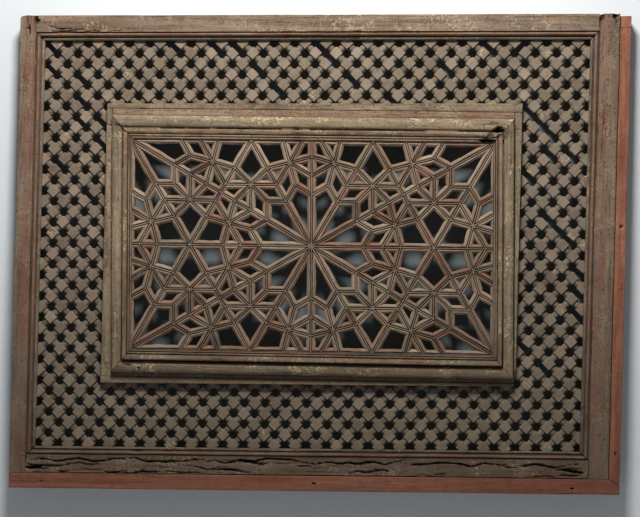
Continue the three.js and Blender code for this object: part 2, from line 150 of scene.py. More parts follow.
OVERALL_W = STILE_LEFT + OPENING_W + STILE_RIGHT + GAP + SIDE_LATH
X0 = -OVERALL_W / 2 + STILE_LEFT
X1 = X0 + OPENING_W
Z0 = SILL_LATH + GAP + RAIL_BOTTOM
Z1 = Z0 + OPENING_H
TOP = Z1 + RAIL_TOP
MID_X = (X0 + X1) / 2
MID_Z = (Z0 + Z1) / 2
CAS_X = MID_X + 3 * MM
CAS_Z = MID_Z - 3.5 * MM
STEP_X = OPENING_W / 2 / HALF_COLUMNS
STEP_Z = OPENING_H / 2 / HALF_ROWS
SIGHT_W = STAR * math.sqrt(3) - 2 * OVERLAP
SIGHT_H = STAR
CAS_LEFT = CAS_X - SIGHT_W / 2 - CASING_SIDE
CAS_RIGHT = CAS_X + SIGHT_W / 2 + CASING_SIDE
CAS_BOTTOM = CAS_Z - SIGHT_H / 2 - CASING_BOTTOM
CAS_TOP = CAS_Z + SIGHT_H / 2 + CASING_TOP

# Links lost from the lattice: column and row of the first hole, slope, links gone
BROKEN = [
    (-26, 19, -1, 1), (-26, 17, -1, 1), (-23, 16, -1, 1), (-23, 14, -1, 1),
    (-14, 19, -1, 1), (-10, 19, -1, 1), (-8, 19, -1, 1), (-6, 17, -1, 1),
    (-4, 15, -1, 1), (0, 19, -1, 2), (3, 16, -1, 1), (12, 17, -1, 1),
    (16, 19, -1, 1), (19, 18, 1, 1), (7, 14, -1, 1), (20, 13, -1, 3),
    (24, 9, -1, 1), (22, 9, -1, 1), (20, 7, -1, 1), (22, 3, -1, 3),
    (25, -2, -1, 1), (25, -4, -1, 1), (25, -6, -1, 1), (20, -9, -1, 1),
    (22, -11, -1, 1), (-23, 12, -1, 1), (-21, 12, -1, 1), (-21, 10, -1, 1),
    (-22, 5, -1, 1), (-25, 8, -1, 1),
]

# Damage: x, z, half sizes, depth, tilt and seed of each place
RIGHT_HEAD_CHIPS = [
    (X1 + 0.0175, TOP, 0.005, 0.018, 0.012, 0.1, 1), (X1 + 0.044, TOP, 0.006, 0.014, 0.01, -0.1, 4),
]
LEFT_HEAD_SPLITS = [
    (-0.5358, 0.8372, 0.0024, 0.0024, 0.008, 0, 2), (-0.5343, 0.832, 0.0014, 0.012, 0.005, 0.02, 8),
    (-0.5375, 0.85, 0.0014, 0.01, 0.004, 0, 4), (-0.5235, 0.852, 0.0025, 0.008, 0.012, 0, 11),
]
RAIL_ROT = [
    (X0 + 0.002, Z0 - 0.036, 0.02, 0.0035, 0.012, 0.05, 3),
    (X1 - 0.012, Z0 - 0.035, 0.022, 0.003, 0.012, -0.1, 5),
]
CASING_ROT = [
    (0.3226, 0.6555, 0.0095, 0.0058, 0.02, 0.05, 3), (0.3046, 0.6365, 0.015, 0.005, 0.013, 0.05, 5),
    (0.311, 0.646, 0.012, 0.006, 0.004, 0.4, 9), (0.333, 0.644, 0.01, 0.01, 0.003, 0.8, 12),
    (0.315, 0.665, 0.014, 0.004, 0.0025, 0.1, 6), (0.3, 0.65, 0.003, 0.014, 0.002, 0, 7),
]
CASING_FOOT_CRACKS = [
    (-0.3221, 0.2176, 0.0013, 0.0045, 0.006, 0.1, 2), (-0.342, 0.222, 0.008, 0.003, 0.003, 0, 7),
]
CASING_CORNER_WEAR = [
    (-0.3558, 0.6506, 0.01, 0.012, 0.003, 0.5, 4), (-0.364, 0.656, 0.007, 0.004, 0.003, 0.2, 6),
]
# The long splits of the bottom rail (x, half length) and the cracks of the top rail, with mm deep
RAIL_SPLITS = [(-0.42, 0.09), (-0.27, 0.08), (-0.1, 0.1), (0.08, 0.09), (0.25, 0.1), (0.41, 0.07)]
RAIL_CRACKS = [
    (-0.493, 0.8402, 0.008, 2.5), (-0.4746, 0.8356, 0.015, 4), (-0.4671, 0.8301, 0.026, 4),
    (-0.4452, 0.8328, 0.018, 3), (-0.4231, 0.8291, 0.02, 2.5), (-0.3829, 0.8281, 0.02, 2),
]


# Mesh helpers

def clamp(value):
    return min(1.0, max(0.0, value))


def settle(bm, kind="frame"):
    """The lean of the frame, the upright sagging casing, and the trims between them."""
    for v in bm.verts:
        x, y, z = v.co
        out_x = out_z = 0.0 if kind == "casing" else 1.0
        if kind == "trim":
            beside = max(CAS_LEFT - GAP - x, x - CAS_RIGHT - GAP)
            above = max(CAS_BOTTOM - GAP - z, z - CAS_TOP - GAP)
            out_x = clamp(beside / (TRIM_LEFT if x < CAS_X else TRIM_RIGHT))
            out_z = clamp(above / (TRIM_BOTTOM if z < CAS_Z else TRIM_TOP))
        v.co.x = x + RACK * (out_x * z + (1 - out_x) * CAS_Z)
        v.co.z = z - SAG * (1 - out_z) * (x - CAS_X)
        if kind != "casing" or y > CASING_FRONT + RELIEF + STRAP_BACK - STRAP_FRONT:
            continue
        ux = (abs(x - CAS_X) - SIGHT_W / 2) / CASING_SIDE
        uz = (abs(z - CAS_Z) - SIGHT_H / 2) / CASING_CORE
        u = max(ux, uz)
        down = clamp((CAS_Z + SIGHT_H / 2 - z) / SIGHT_H)
        if u <= BAND + 0.008:
            v.co.y = y - TIP_TOP - (TIP - TIP_TOP) * down
            if u > BEADS and y < CASING_FRONT + RELIEF * 0.85:
                v.co.y += BAND_EASE * (1 - down)
            elif u > 0.0:
                v.co.y -= BEAD_LIFT * (1 - down)
        elif u <= BAND + 0.06:
            v.co.y = max(CASING_FRONT, y - NOTCH_FILL * (1 - down))


def layers(bm):
    """Vertex values that the materials read, hollow among them being painted shade, and the UV map that
    follows the grain.
    """
    get = bm.verts.layers.float
    out = {}
    for key in ("tone", "paint", "cream", "hollow", "green"):
        out[key] = get.get(key) or get.new(key)
    out["uv"] = bm.loops.layers.uv.get("grain") or bm.loops.layers.uv.new("grain")
    return out


def arc(d, y, rd, ry, start, end, steps):
    out = []
    for i in range(steps + 1):
        a = math.radians(start + (end - start) * i / steps)
        out.append((d + rd * math.cos(a), y - ry * math.sin(a)))
    return out


def dense(section, spacing, back_y):
    """Adds points to the long flats of a section, apart from those at the back."""
    out = []
    n = len(section)
    for i, (d, y) in enumerate(section):
        e, w = section[(i + 1) % n]
        out.append((d, y))
        length = math.hypot(e - d, w - y)
        if y > back_y and w > back_y:
            continue
        for k in range(1, int(length / spacing) + 1):
            f = k / (int(length / spacing) + 1)
            out.append((d + f * (e - d), y + f * (w - y)))
    return out


def extrude(bm, ring, steps):
    """Draws a closed ring of vertices one metre along X and closes both ends."""
    edges = [bm.edges.new((ring[i], ring[(i + 1) % len(ring)])) for i in range(len(ring))]
    bmesh.ops.spin(bm, geom=ring + edges, cent=(0, 0, 0), axis=(1, 0, 0), dvec=(1 / steps, 0, 0),
                   angle=0.0, steps=steps, use_duplicate=False)
    bmesh.ops.holes_fill(bm, edges=[e for e in bm.edges if e.is_boundary], sides=0)
    bmesh.ops.triangulate(bm, faces=[f for f in bm.faces if len(f.verts) > 4])


def put(bm, degrees, vec):
    """Turns a mesh about Y, then moves it."""
    bmesh.ops.rotate(bm, verts=bm.verts[:], cent=(0, 0, 0),
                     matrix=Matrix.Rotation(math.radians(degrees), 3, "Y"))
    bmesh.ops.translate(bm, verts=bm.verts[:], vec=vec)


def bar(section, reach, steps, marks, seed, tone=0.5):
    """A bar along X from a section of (d, y); d runs outwards from the sight edge, as Z.

    marks(d, y) gives (paint, cream, hollow) for a point of the section; hollow is painted shade in grooves
    and steps.
    """
    bm = bmesh.new()
    lay = layers(bm)
    area = sum(a[0] * b[1] - b[0] * a[1] for a, b in zip(section, section[1:] + section[:1]))
    if area > 0:
        section = section[::-1]
    around = bm.verts.layers.float.new("around")
    verts = [bm.verts.new((0, y, d)) for d, y in section]
    total = 0.0
    for i, v in enumerate(verts):
        v[around] = total
        total += (verts[(i + 1) % len(verts)].co - v.co).length
        v[lay["paint"]], v[lay["cream"]], v[lay["hollow"]] = marks(v.co.z, v.co.y)
        v[lay["tone"]] = tone
    extrude(bm, verts, steps)
    bmesh.ops.recalc_face_normals(bm, faces=bm.faces[:])
    for v in bm.verts:
        v.co.x = (2 * v.co.x - 1) * reach(v.co.z)
    for f in bm.faces:
        far = max(loop.vert[around] for loop in f.loops)
        for loop in f.loops:
            here = loop.vert[around]
            if far - here > total * 0.5:
                here += total
            loop[lay["uv"]].uv = (loop.vert.co.x + seed, here + seed * 0.37)
    return bm


def on_side(bm, side, cx, cz, w, h):
    """Puts a bar, modelled above its sight edge, on one side of a rectangle."""
    turn = {"top": 0, "bottom": 180, "left": -90, "right": 90}[side]
    out = h / 2 if side in ("top", "bottom") else w / 2
    bmesh.ops.translate(bm, verts=bm.verts[:], vec=(0, 0, out))
    put(bm, turn, (cx, 0, cz))


def wear(bm, along, depth, seed):
    """Weathered wood: grain ridges and slow hollows, always inwards from the true face."""
    bm.normal_update()
    ax = Vector((1, 0, 0)) if along == "x" else Vector((0, 0, 1))
    moves = []
    for v in bm.verts:
        n = v.normal
        if n.y > 0.5:
            continue
        p = v.co
        u = p.dot(ax)
        c = (p.z if along == "x" else p.x) + p.y * 0.7
        broad = noise.noise(Vector((u * 5 + seed, c * 40, seed)))
        grain = noise.noise(Vector((u * 14 + seed, c * 420, 3 + seed)))
        nick = noise.noise(Vector((u * 45 + seed, c * 60, 9 + seed)))
        amount = depth * (0.45 * (0.5 + broad) + 0.4 * (0.5 + grain))
        edge = 1 - max(abs(n.x), abs(n.y), abs(n.z))
        amount += depth * 4.5 * max(0, nick - 0.3) * (0.25 + 2.5 * edge)
        moves.append((v, max(0, amount) * MM))
    for v, a in moves:
        v.co -= v.normal * a


def hurt(bm, spots):
    """Pits, splits and chips pushed into the front and darkened as painted shade. Each: x, z, half sizes,
    depth, tilt, seed.
    """
    hollow = layers(bm)["hollow"]
    for v in bm.verts:
        if v.co.y > SPLIT_FLOOR:
            continue
        for x, z, rx, rz, deep, tilt, seed in spots:
            bend = min(rx * 0.14, 0.0032) * noise.noise(Vector((v.co.x * 34, v.co.z * 9, seed)))
            dx, dz = v.co.x - x, v.co.z - z + 2 * bend
            ca, sa = math.cos(tilt), math.sin(tilt)
            a = (dx * ca + dz * sa) / rx
            b = (dz * ca - dx * sa) / rz
            if abs(a) > 1.6 or abs(b) > 1.6:
                continue
            r = math.hypot(a, b)
            r += 0.55 * noise.noise(Vector((dx * 160 + seed, dz * 160, seed)))
            if r < 1:
                push = deep * min(1, (1 - r) * 2.6)
                v.co.y = min(v.co.y + push, SPLIT_FLOOR)
                # painted shade: the pushed-in spots are marked hollow, most in their middle and the deeper
                # ones more
                darker = (1.5 * (1 - r) + 0.3) * min(1, deep / (8 * MM))
                v[hollow] = min(1, v[hollow] + darker)


def join_bm(target, source):
    mesh = bpy.data.meshes.new("part")
    source.to_mesh(mesh)
    source.free()
    target.from_mesh(mesh)
    bpy.data.meshes.remove(mesh)


# Materials

def new_group(name, inputs):
    """A node group and its inputs; an input without a value is a vector."""
    tree = bpy.data.node_groups.new(name, "ShaderNodeTree")
    for label, value in inputs.items():
        kind = "NodeSocketVector" if value is None else "NodeSocketFloat"
        sock = tree.interface.new_socket(name=label, in_out="INPUT", socket_type=kind)
        if value is not None:
            sock.default_value = value
    return tree, tree.nodes.new("NodeGroupInput").outputs


def group_outputs(tree, results):
    """Makes each result an output of the node group."""
    for label in results:
        tree.interface.new_socket(name=label, in_out="OUTPUT", socket_type="NodeSocketFloat")
    out = tree.nodes.new("NodeGroupOutput")
    for label, value in results.items():
        tree.links.new(value, out.inputs[label])
    return tree


def feed(tree, sock, val):
    """Sets an input to a number or a colour, or links it to an output."""
    if isinstance(val, (int, float)):
        sock.default_value = val
    elif isinstance(val, (tuple, list)):
        sock.default_value = tuple(val) + (1,) * (4 - len(val))
    else:
        tree.links.new(val, sock)


def math_node(tree, op, a, b=None, clamped=False):
    n = tree.nodes.new("ShaderNodeMath")
    n.operation = op
    n.use_clamp = clamped
    feed(tree, n.inputs[0], a)
    if b is not None:
        feed(tree, n.inputs[1], b)
    return n.outputs[0]


def times(tree, a, b, clamped=False):
    return math_node(tree, "MULTIPLY", a, b, clamped)


def minus(tree, a, b):
    return math_node(tree, "SUBTRACT", a, b)


def ramp(tree, value, low, high, a=0.0, b=1.0):
    n = tree.nodes.new("ShaderNodeMapRange")
    n.interpolation_type = "SMOOTHSTEP"
    tree.links.new(value, n.inputs["Value"])
    for key, val in (("From Min", low), ("From Max", high), ("To Min", a), ("To Max", b)):
        feed(tree, n.inputs[key], val)
    return n.outputs["Result"]


def mix(tree, fac, a, b):
    n = tree.nodes.new("ShaderNodeMix")
    n.data_type = "RGBA"
    n.clamp_factor = True
    for sock, val in zip((n.inputs[0], n.inputs[6], n.inputs[7]), (fac, a, b)):
        feed(tree, sock, val)
    return n.outputs[2]


def noise_node(tree, vector, scale, detail=4.0, rough=0.55, distort=0.0):
    n = tree.nodes.new("ShaderNodeTexNoise")
    n.inputs["Scale"].default_value = scale
    n.inputs["Detail"].default_value = detail
    n.inputs["Roughness"].default_value = rough
    n.inputs["Distortion"].default_value = distort
    tree.links.new(vector, n.inputs["Vector"])
    return n.outputs["Fac"]


def streaks(tree, vector, x, y, detail, rough=0.55, distort=0.0):
    """Noise drawn out along the grain."""
    n = tree.nodes.new("ShaderNodeMapping")
    n.inputs["Scale"].default_value = (x, y, 1.0)
    tree.links.new(vector, n.inputs["Vector"])
    return noise_node(tree, n.outputs["Vector"], 1.0, detail, rough, distort)


def grain_group():
    """Lines along the grain of old dry wood: streaks, open pores and drying splits."""
    tree, given = new_group("Wood grain", {"Along": None, "Fineness": 1.0})
    scaled = tree.nodes.new("ShaderNodeVectorMath")
    scaled.operation = "SCALE"
    tree.links.new(given["Along"], scaled.inputs[0])
    tree.links.new(given["Fineness"], scaled.inputs["Scale"])
    along = scaled.outputs[0]
    streak = streaks(tree, along, 6, 120, 5, 0.6, 0.3)
    fine = streaks(tree, along, 22, 900, 3, 0.6)
    split = streaks(tree, along, 7, 230, 2, 0.5, 0.6)
    where = streaks(tree, along, 5, 26, 2)
    pores = ramp(tree, fine, 0.56, 0.72)
    edge = math_node(tree, "ABSOLUTE", minus(tree, split, 0.5))
    splits = times(tree, ramp(tree, edge, 0.0, 0.012, 1.0, 0.0), ramp(tree, where, 0.49, 0.62))
    height = minus(tree, minus(tree, times(tree, streak, 0.5), times(tree, pores, 0.25)), splits)
    return group_outputs(tree, {"Streaks": streak, "Pores": pores, "Splits": splits, "Height": height})


def dust_group():
    """Settled dust, soft soiling, specks, flecks and pits in patches."""
    tree, given = new_group("Dust and soiling", {"Place": None, "Amount": 0.5})
    place = given["Place"]
    big = noise_node(tree, place, 16, 5, 0.6)
    middle = noise_node(tree, place, 70, 4, 0.65)
    speck = noise_node(tree, place, 520, 2, 0.5)
    patch = noise_node(tree, place, 22, 3, 0.6, 0.5)
    small = noise_node(tree, place, 210, 4, 0.65, 0.3)
    hole = noise_node(tree, place, 330, 3, 0.6, 0.2)
    return group_outputs(tree, {
        "Dust": times(tree, ramp(tree, big, 0.38, 0.68), given["Amount"]),
        "Soil": ramp(tree, middle, 0.5, 0.72),
        "Specks": ramp(tree, speck, 0.62, 0.74),
        "Flecks": times(tree, ramp(tree, patch, 0.47, 0.62), ramp(tree, small, 0.5, 0.58)),
        "Pits": times(tree, ramp(tree, hole, 0.58, 0.66), ramp(tree, middle, 0.36, 0.56)),
    })


def old_paint_group():
    """Flaking remains of paint where a mask allows them."""
    tree, given = new_group("Paint remains", {"Place": None, "Mask": 1.0, "Left": 0.5})
    broad = streaks(tree, given["Place"], 20, 110, 6, 0.7, 0.4)
    fine = streaks(tree, given["Place"], 260, 700, 3, 0.7)
    both = math_node(tree, "ADD", times(tree, broad, 0.72), times(tree, fine, 0.28))
    edge = minus(tree, 0.78, times(tree, given["Left"], 0.5))
    flake = ramp(tree, minus(tree, both, edge), -0.02, 0.05)
    return group_outputs(tree, {"Paint": times(tree, flake, given["Mask"], True)})


GROUPS = {}


def group_node(tree, key, values):
    n = tree.nodes.new("ShaderNodeGroup")
    n.node_tree = GROUPS[key]
    for label, val in values.items():
        feed(tree, n.inputs[label], val)
    return n.outputs


def attribute(tree, name):
    n = tree.nodes.new("ShaderNodeAttribute")
    n.attribute_name = name
    return n.outputs["Fac"]


def tinted(rgb, *shares):
    """A colour times one share, or times a share for each channel."""
    if len(shares) == 1:
        shares *= 3
    return tuple(min(1, c * share) for c, share in zip(rgb, shares))


def old_wood(name, light, dark, red, cream, fineness, red_left, cream_left, dust, bump, spread,
             split_dark, pitted):
    mat = bpy.data.materials.new(name)
    mat.use_nodes = True
    tree = mat.node_tree
    shader = tree.nodes["Principled BSDF"]
    uv = tree.nodes.new("ShaderNodeUVMap")
    uv.uv_map = "grain"
    along = uv.outputs["UV"]
    place = tree.nodes.new("ShaderNodeTexCoord").outputs["Object"]
    shifted = tree.nodes.new("ShaderNodeVectorMath")
    shifted.inputs[1].default_value = (3.7, 1.9, 0)
    tree.links.new(along, shifted.inputs[0])
    height = tree.nodes.new("ShaderNodeSeparateXYZ")
    tree.links.new(place, height.inputs[0])
    value = {key: attribute(tree, key) for key in ("tone", "paint", "cream", "hollow", "green")}
    grain = group_node(tree, "grain", {"Along": along, "Fineness": fineness})
    soil = group_node(tree, "dust", {"Place": place, "Amount": dust})
    reds = group_node(tree, "paint", {"Place": along, "Mask": value["paint"], "Left": red_left})
    creams = group_node(tree, "paint", {"Place": shifted.outputs[0], "Mask": value["cream"],
                                        "Left": cream_left})
    broad = streaks(tree, along, 3, 34, 3, 0.5, 0.4)
    flecks = times(tree, soil["Flecks"], value["cream"], True)
    brighter, darker = tinted(light, 1.5), tinted(dark, 0.45)
    coats = (
        (ramp(tree, broad, 0.42, 0.66, 0.0, 0.5), tinted(dark, 0.72)),
        (ramp(tree, value["tone"], 0.5, 1.0, 0.0, spread), brighter),
        (ramp(tree, value["tone"], 0.5, 0.0, 0.0, spread), darker),
        (times(tree, soil["Soil"], 0.35), darker),
        (times(tree, reds["Paint"], 0.8), red),
        (times(tree, creams["Paint"], 0.6), cream),
        (times(tree, flecks, 0.9), tinted(cream, 1.2)),
        (times(tree, value["green"], 0.6), tinted(light, 0.72, 0.86, 0.8)),
        (times(tree, soil["Dust"], 0.6), tinted(light, 0.95, 1.0, 1.12)),
        (times(tree, grain["Pores"], 0.35), darker),
        (times(tree, soil["Specks"], 0.25), brighter),
        (times(tree, soil["Pits"], pitted), darker),
        # painted shade: every wood is darkened towards the bottom of the panel, from Z 0 up to 0.62 m
        (ramp(tree, height.outputs["Z"], 0.0, 0.62, 0.42, 0.0), darker),
        (times(tree, grain["Splits"], split_dark), SPLIT_INK),
        # painted shade: what is marked hollow turns near black
        (times(tree, value["hollow"], 0.86, True), HOLLOW_SHADE),
    )
    base = mix(tree, ramp(tree, grain["Streaks"], 0.3, 0.7), dark, light)
    for mask, over in coats:
        base = mix(tree, mask, base, over)
    tree.links.new(base, shader.inputs["Base Color"])
    rough = ramp(tree, grain["Streaks"], 0.2, 0.8, 0.78, 0.95)
    tree.links.new(rough, shader.inputs["Roughness"])
    shader.inputs["Specular IOR Level"].default_value = 0.25
    bump_node = tree.nodes.new("ShaderNodeBump")
    bump_node.inputs["Strength"].default_value = bump
    bump_node.inputs["Distance"].default_value = 1.2 * MM
    relief = math_node(tree, "ADD", grain["Height"], times(tree, creams["Paint"], 0.3))
    relief = minus(tree, relief, times(tree, soil["Pits"], pitted))
    tree.links.new(relief, bump_node.inputs["Height"])
    tree.links.new(bump_node.outputs["Normal"], shader.inputs["Normal"])
    return mat


MATERIALS = {}


def linear(rgb):
    """The linear colour of an sRGB colour given as 0 to 255."""
    shares = [c / 255 for c in rgb]
    return tuple(c / 12.92 if c <= 0.04045 else ((c + 0.055) / 1.055) ** 2.4 for c in shares)


def make_materials(colours):
    GROUPS["grain"] = grain_group()
    GROUPS["dust"] = dust_group()
    GROUPS["paint"] = old_paint_group()
    red = tuple(colours.red_paint)
    cream = tuple(colours.cream_paint)
    # fineness, red and cream left, dust, bump, spread of tone, dark splits, pits
    woods = (
        ("frame", "weathered_frame_wood", 1.0, 0.66, 0.3, 0.5, 0.9, 0.5, 0.85, 0.7),
        ("casing", "weathered_casing_wood", 1.0, 0.6, 0.42, 0.4, 0.85, 0.5, 0.8, 0.75),
        ("lattice", "dry_lattice_wood", 2.0, 0.4, 0.3, 0.6, 0.3, 0.7, 0.6, 0.25),
        ("strap", "strapwork_wood", 1.6, 0.72, 0.35, 0.45, 0.5, 0.6, 0.75, 0.3),
        ("lath", "red_lath_wood", 1.0, 0.7, 0.3, 0.35, 0.5, 0.5, 0.75, 0.5),
    )
    for key, name, *finish in woods:
        light = tuple(getattr(colours, key + "_light"))
        dark = tuple(getattr(colours, key + "_dark"))
        MATERIALS[key + "_wood"] = old_wood(name, light, dark, red, cream, *finish)


# Frame

def frame_moulding(width):
    lip = LATTICE_FRONT - GAP
    f = FRONT
    s = SIGHT_STEP
    return [
        (0, lip), (0, f + s), *arc(width * 0.18, f + s, 2.1 * MM, 2.1 * MM, 165, 15, 7),
        (width * 0.345, f + s * 0.96), (width * 0.38, f + s * 0.94), (width * 0.44, f + s * 0.8),
        *arc(width * 0.66, f + s * 0.45, 2.8 * MM, 2.8 * MM, 172, 15, 9),
        (width * 0.875, f + s * 0.42), (width * 0.9, f + s * 0.4), (width * 0.94, f), (width, f),
        (width, BACK), (8 * MM, BACK), (8 * MM, lip),
    ]


def frame_marks(d, y):
    if y > 0:
        return 0, 0, 0
    if d < MOULD * 0.33:
        return 0.15, 0.4, 0.0
    # painted shade: the grooves of the moulding are marked hollow
    if d < MOULD * 0.42 or MOULD * 0.86 < d < MOULD * 0.92:
        return 0.2, 0.1, 0.8
    if d < MOULD * 0.9:
        return 1.0, 0.2, 0.0
    return 0.3, 0.5, 0.0


def rail_section(width):
    ring = [p for p in frame_moulding(MOULD) if p[0] < MOULD]
    cut_at = next(i for i, p in enumerate(ring) if p[1] >= BACK)
    board = [(width - 2 * MM, FRONT), (width - 0.6 * MM, FRONT + 0.6 * MM),
             (width, FRONT + 2 * MM), (width, BACK)]
    return dense(ring[:cut_at] + board + ring[cut_at:], BOARD_SPACING, 0.0)


def rail(side, width, seed, spots, tone=0.5):
    bm = bar(rail_section(width), lambda d: OPENING_W / 2 + min(d, MOULD) - 2 * GAP,
             260, frame_marks, seed, tone)
    on_side(bm, side, MID_X, MID_Z, OPENING_W, OPENING_H)
    wear(bm, "x", 1.0 if side == "top" else 1.6, seed)
    hurt(bm, spots)
    return bm


def stile(side, width, seed, spots, tone=0.5):
    """The moulding is mitred and the board behind it runs the whole height."""
    sec = dense(frame_moulding(MOULD), BOARD_SPACING, 0.0)
    bm = bar(sec, lambda d: OPENING_H / 2 + d - GAP, 200, frame_marks, seed, tone)
    on_side(bm, side, MID_X, MID_Z, OPENING_W, OPENING_H)
    plain = width - MOULD
    board = [(0, FRONT), (plain - 2 * MM, FRONT), (plain - 0.6 * MM, FRONT + 0.6 * MM),
             (plain, FRONT + 2 * MM), (plain, BACK), (0, BACK)]
    long = TOP - SILL_LATH - GAP
    more = bar(dense(board, BOARD_SPACING, 0.0), lambda d: long / 2, 210,
               lambda d, y: (0.9 if d < plain * 0.6 else 0.3, 0.22, 0), seed + 3, tone)
    on_side(more, side, MID_X, (TOP + SILL_LATH + GAP) / 2, OPENING_W + 2 * MOULD, OPENING_H)
    join_bm(bm, more)
    if side == "left":
        # the head of this stile is worn round
        middle = X0 - width / 2
        for v in bm.verts:
            f = abs(v.co.x - middle) / (width / 2)
            v.co.z -= HEAD_WEAR * min(1, f) ** 4 * clamp((v.co.z - TOP + HEAD_WORN) / HEAD_WORN)
    wear(bm, "z", 1.0, seed)
    hurt(bm, spots)
    return bm


# Casing

def casing_section(core, width):
    """Two beads, a raised band, a hollow, a large torus and a plain margin."""
    f = CASING_FRONT
    r = RELIEF
    low = f + r

    def at(u):
        return u * core

    margin = [(width, low)] if width > core else []
    return [
        (0, CASING_BACK), (0, low),
        *arc(at(0.055), low, at(0.045), r * 0.17, 168, 12, 6), (at(0.103), low + 0.3 * MM),
        *arc(at(0.15), low - r * 0.1, at(0.045), r * 0.17, 168, 12, 6), (at(BEADS), low - r * 0.1),
        (at(0.212), low - r * 0.3), (at(0.24), low - r * 0.47), (at(0.29), low - r * 0.56),
        (at(0.345), low - r * 0.62), (at(0.385), low - r * 0.62), (at(BAND), low - r * 0.55),
        (at(BAND + 0.007), low - r * 0.45), (at(BAND + 0.012), low - r * 0.25),
        (at(BAND + 0.05), low - r * 0.25),
        *arc(at(0.73), f + r * 0.4, at(0.245), r * 0.4, 170, 10, 16),
        (at(0.982), f + r * 0.55), (at(0.986), low - r * 0.1), (core, low), *margin,
        (width, LATTICE_FRONT - GAP), (width - REBATE, LATTICE_FRONT - GAP), (width - REBATE, CASING_BACK),
    ]


def casing_marks(core):
    def marks(d, y):
        u = d / core
        if y > -0.0056:
            return 0, 0, 0
        # painted shade: the grooves by the beads, the notch before the torus and the step to the margin
        # are marked hollow
        if u < 0.01 or 0.097 < u < 0.108 or 0.19 < u < 0.215:
            return 0.2, 0.0, 0.8
        if u < BEADS:
            return 0.45, 0.25, 0.0
        if u < BAND + 0.006:
            return 0.8, 0.65, 0.0
        if u < BAND + 0.055:
            return 0.3, 0.0, 0.35
        if u < 0.978:
            return 0.12, 1.0, 0.0
        if u < 1.01:
            return 0.2, 0.2, 0.7
        return 0.9, 0.3, 0.0
    return marks


def casing_member(side, seed, spots):
    upright = side in ("left", "right")
    width = {"top": CASING_TOP, "bottom": CASING_BOTTOM}.get(side, CASING_SIDE)
    core = CASING_SIDE if upright else CASING_CORE
    across = CASING_CORE if upright else CASING_SIDE
    half = (SIGHT_H if upright else SIGHT_W) / 2
    sec = dense(casing_section(core, width), CASING_SPACING, -4 * MM)
    bm = bar(sec, lambda d: half + min(d / core, 1) * across - GAP, 150 if upright else 230,
             casing_marks(core), seed, {"top": 0.65, "bottom": 0.12, "left": 0.5, "right": 0.3}[side])
    on_side(bm, side, CAS_X, CAS_Z, SIGHT_W, SIGHT_H)
    if not upright:
        # the body behind the lattice stops short of the corners
        for v in bm.verts:
            if v.co.y > LATTICE_FRONT - GAP * 0.5:
                v.co.x = min(CAS_RIGHT - REBATE, max(CAS_LEFT + REBATE, v.co.x))
    wear(bm, "z" if upright else "x", 0.6, seed)
    hurt(bm, spots)
    return bm


# Lattice

def build_link():
    """One link along X, closed, with eight sides and turned grooves."""
    bm = bmesh.new()
    half = ((0.13, 1.0), (0.2, 0.88), (0.27, 1.0), (0.5, 0.97))
    profile = [(-x, r) for x, r in reversed(half)] + list(half)
    verts = [bm.verts.new((x, 0, r)) for x, r in profile]
    edges = [bm.edges.new(pair) for pair in zip(verts, verts[1:])]
    bmesh.ops.spin(bm, geom=verts + edges, cent=(0, 0, 0), axis=(1, 0, 0), angle=TAU,
                   steps=8, use_merge=True, use_duplicate=False)
    bmesh.ops.remove_doubles(bm, verts=bm.verts[:], dist=1e-5)
    bmesh.ops.holes_fill(bm, edges=[e for e in bm.edges if e.is_boundary], sides=0)
    bmesh.ops.recalc_face_normals(bm, faces=bm.faces[:])
    return bm


def build_block():
    """One block of the lattice with worn arrises, standing on its corner."""
    bm = bmesh.new()
    bmesh.ops.create_cube(bm, size=1.0)
    bmesh.ops.bevel(bm, geom=bm.edges[:], offset=0.045, offset_type="OFFSET", segments=1,
                    profile=0.5, affect="EDGES", material=-1)
    return bm


def stamp(target, source, matrix, tone, uv_shift, paint=0.0, cream=0.0, green=0.0):
    """Adds a transformed copy of a small mesh, with its own tone and place in the grain."""
    copy = source.copy()
    bmesh.ops.transform(copy, matrix=matrix, verts=copy.verts[:])
    own = layers(copy)
    size = matrix.to_scale()
    for v in copy.verts:
        v[own["tone"]] = tone
        v[own["paint"]] = paint
        v[own["cream"]] = cream
        v[own["green"]] = green
    for f, g in zip(copy.faces, source.faces):
        n = g.normal
        for loop, base in zip(f.loops, g.loops):
            c = base.vert.co
            across = c.z * size.z + c.y * size.y
            if abs(n.y) > 0.7:
                across = c.z * size.z
            loop[own["uv"]].uv = (c.x * size.x + uv_shift[0], across + uv_shift[1])
    join_bm(target, copy)


def lost_links():
    out = set()
    for i, k, slope, count in BROKEN:
        for s in range(count):
            out.add((2 * (i + s) + 1, 2 * k + (2 * s + 1) * slope, -slope))
    return out


def band_of(x, z):
    if z > CAS_TOP - 6 * MM:
        return "top"
    if z < CAS_BOTTOM + 6 * MM:
        return "bottom"
    return "left" if x < CAS_X else "right"


def hidden(x, z, more=0.0):
    """True where the casing covers the lattice, which isn't built there."""
    inset = HIDDEN_INSET + more
    beside = CAS_LEFT + inset < x < CAS_RIGHT - inset
    return beside and CAS_BOTTOM + inset < z < CAS_TOP - inset


def outside(x, z):
    return abs(x - MID_X) > OPENING_W / 2 or abs(z - MID_Z) > OPENING_H / 2


